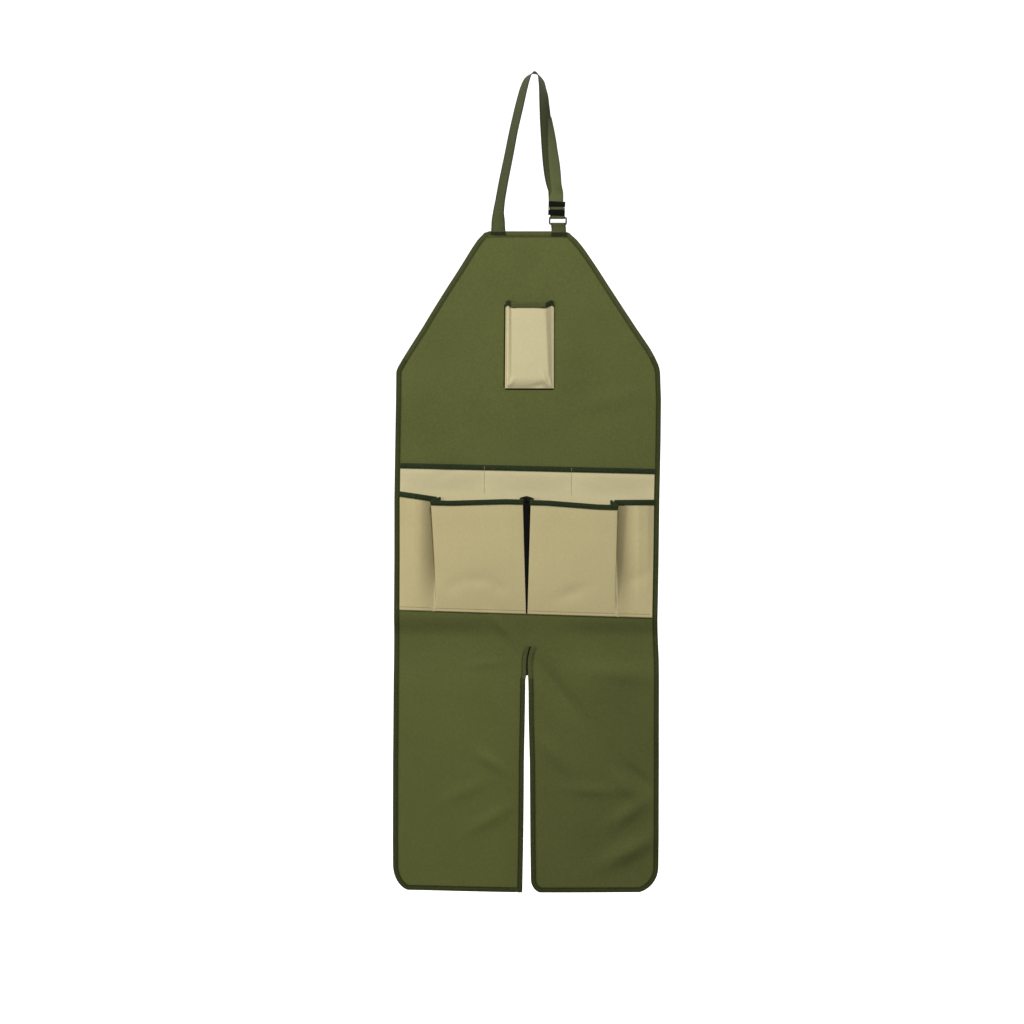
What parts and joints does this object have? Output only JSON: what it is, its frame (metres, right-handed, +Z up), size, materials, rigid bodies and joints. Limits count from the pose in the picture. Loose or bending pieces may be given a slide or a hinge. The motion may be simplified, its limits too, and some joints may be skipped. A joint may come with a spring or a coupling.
{
  "type": "gardening apron",
  "caption": "Hanging bib apron of canvas whose skirt is split into two legs, with a phone pocket, rows of tool pockets and an adjustable webbing neck loop.",
  "frame": {"origin": "the point inside the top of the neck loop where the apron hangs", "axes": "+Z up, the front with the pockets faces -Y, +X to the right as seen from the front"},
  "size_m": [0.4573, 0.0479, 1.3994],
  "materials": {
    "green_canvas": "woven, matte",
    "beige_canvas": "woven, matte",
    "edge_tape": "folded tape, matte",
    "pocket_tape": "folded tape, matte",
    "webbing": "woven webbing",
    "ring_metal": "satin, dark",
    "black_plastic": "satin"
  },
  "bodies": {
    "root": {"body_cloth": "green_canvas", "edge_tape_left": "edge_tape", "edge_tape_slit_left": "edge_tape", "edge_tape_right": "edge_tape", "edge_tape_top": "edge_tape", "phone_pocket": "beige_canvas", "phone_pocket_tape": "pocket_tape", "upper_pocket": "beige_canvas", "upper_pocket_tape": "pocket_tape", "tool_pocket_left": "beige_canvas", "tool_pocket_left_tape": "pocket_tape", "tool_pocket_right": "beige_canvas", "tool_pocket_right_tape": "pocket_tape", "side_pocket_left": "beige_canvas", "side_pocket_left_tape": "pocket_tape", "side_pocket_right": "beige_canvas", "side_pocket_right_tape": "pocket_tape", "neck_strap": "webbing", "ring_tab": "webbing", "ring": "ring_metal", "slider": "black_plastic"}
  },
  "joints": []
}
